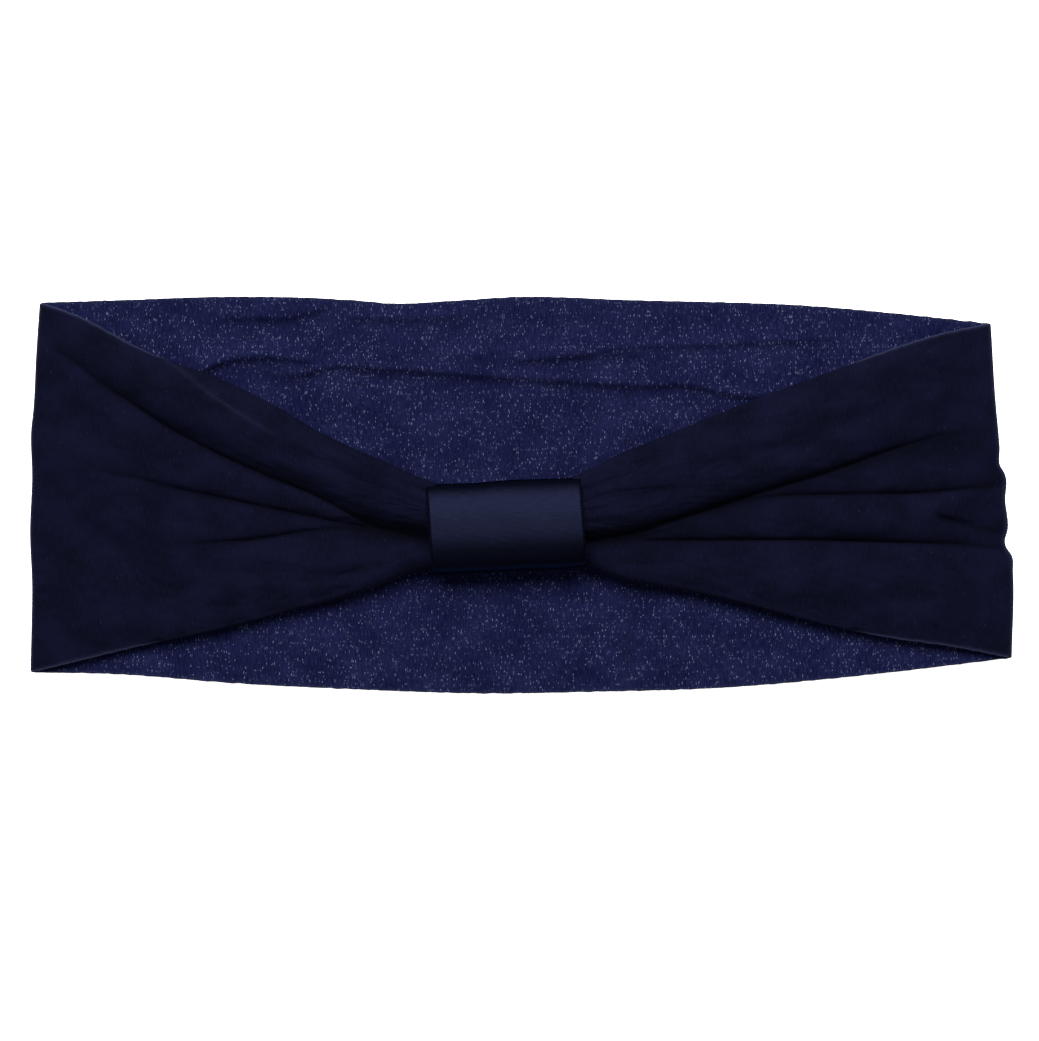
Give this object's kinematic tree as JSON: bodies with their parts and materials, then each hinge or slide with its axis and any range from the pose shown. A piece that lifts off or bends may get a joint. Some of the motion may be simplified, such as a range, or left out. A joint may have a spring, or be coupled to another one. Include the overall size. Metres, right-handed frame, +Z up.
{
  "type": "knotted headband",
  "caption": "Wide jersey headband: a sewn knit loop laid flat, its front gathered and bound in the middle by a satin ribbon wrap; the loop opens to go round a head.",
  "frame": {"origin": "middle of the flattened band's footprint, at table height", "axes": "+X along the flattened loop from its left to its right side fold, +Y from the lower to the upper raw edge, +Z up from the back panel to the gathered front"},
  "size_m": [0.242, 0.0981, 0.0123],
  "materials": {
    "jersey": "matt fine knit, cut edges left raw",
    "satin": "satin weave with soft sheen, woven selvedges",
    "thread": "spun polyester sewing thread"
  },
  "bodies": {
    "back_centre": {"band_back_centre": "jersey", "band_seam_thread": "thread"},
    "back_left_inner": {"band_back_left_inner": "jersey"},
    "back_left_outer": {"band_back_left_outer": "jersey"},
    "front_left_outer": {"band_front_left_outer": "jersey"},
    "front_left_inner": {"band_front_left_inner": "jersey"},
    "knot": {"gathered_core": "jersey", "ribbon_wrap": "satin", "gathering_thread": "thread", "ribbon_tack_left": "thread", "ribbon_tack_right": "thread"},
    "back_right_inner": {"band_back_right_inner": "jersey"},
    "back_right_middle": {"band_back_right_middle": "jersey"},
    "back_right_outer": {"band_back_right_outer": "jersey"},
    "front_right_outer": {"band_front_right_outer": "jersey"},
    "front_right_inner": {"band_front_right_inner": "jersey"}
  },
  "joints": [
    {"name": "back_left_inner_bend", "type": "hinge", "parent": "back_centre", "child": "back_left_inner", "pos_m": [-0.0265, 0, 0.001], "axis": [0, 1, 0], "range_deg": [0, 36]},
    {"name": "back_left_outer_bend", "type": "hinge", "parent": "back_left_inner", "child": "back_left_outer", "pos_m": [-0.07375, 0, 0.001], "axis": [0, 1, 0], "range_deg": [0, 36]},
    {"name": "left_side_fold", "type": "hinge", "parent": "back_left_outer", "child": "front_left_outer", "pos_m": [-0.121, 0, 0.0015], "axis": [0, -1, 0], "range_deg": [0, 144]},
    {"name": "front_left_outer_bend", "type": "hinge", "parent": "front_left_outer", "child": "front_left_inner", "pos_m": [-0.07375, 0, 0.002], "axis": [0, 1, 0], "range_deg": [0, 36]},
    {"name": "front_left_inner_bend", "type": "hinge", "parent": "front_left_inner", "child": "knot", "pos_m": [-0.0265, 0, 0.002], "axis": [0, 1, 0], "range_deg": [0, 36]},
    {"name": "front_right_inner_bend", "type": "hinge", "parent": "knot", "child": "front_right_inner", "pos_m": [0.0265, 0, 0.002], "axis": [0, 1, 0], "range_deg": [0, 36]},
    {"name": "front_right_outer_bend", "type": "hinge", "parent": "front_right_inner", "child": "front_right_outer", "pos_m": [0.07375, 0, 0.002], "axis": [0, 1, 0], "range_deg": [0, 36]},
    {"name": "right_side_fold", "type": "hinge", "parent": "front_right_outer", "child": "back_right_outer", "pos_m": [0.121, 0, 0.0015], "axis": [0, -1, 0], "range_deg": [0, 144]},
    {"name": "back_right_outer_bend", "type": "hinge", "parent": "back_right_outer", "child": "back_right_middle", "pos_m": [0.07375, 0, 0.001], "axis": [0, 1, 0], "range_deg": [0, 36]},
    {"name": "back_right_inner_bend", "type": "hinge", "parent": "back_centre", "child": "back_right_inner", "pos_m": [0.0265, 0, 0.001], "axis": [0, -1, 0], "range_deg": [0, 36]}
  ],
  "couplings": [
    {"joint": "back_left_outer_bend", "follows": "back_left_inner_bend", "ratio": 1},
    {"joint": "left_side_fold", "follows": "back_left_inner_bend", "ratio": 4},
    {"joint": "front_left_outer_bend", "follows": "back_left_inner_bend", "ratio": 1},
    {"joint": "front_left_inner_bend", "follows": "back_left_inner_bend", "ratio": 1},
    {"joint": "front_right_inner_bend", "follows": "back_left_inner_bend", "ratio": 1},
    {"joint": "front_right_outer_bend", "follows": "back_left_inner_bend", "ratio": 1},
    {"joint": "right_side_fold", "follows": "back_left_inner_bend", "ratio": 4},
    {"joint": "back_right_outer_bend", "follows": "back_left_inner_bend", "ratio": 1},
    {"joint": "back_right_inner_bend", "follows": "back_left_inner_bend", "ratio": 1}
  ]
}
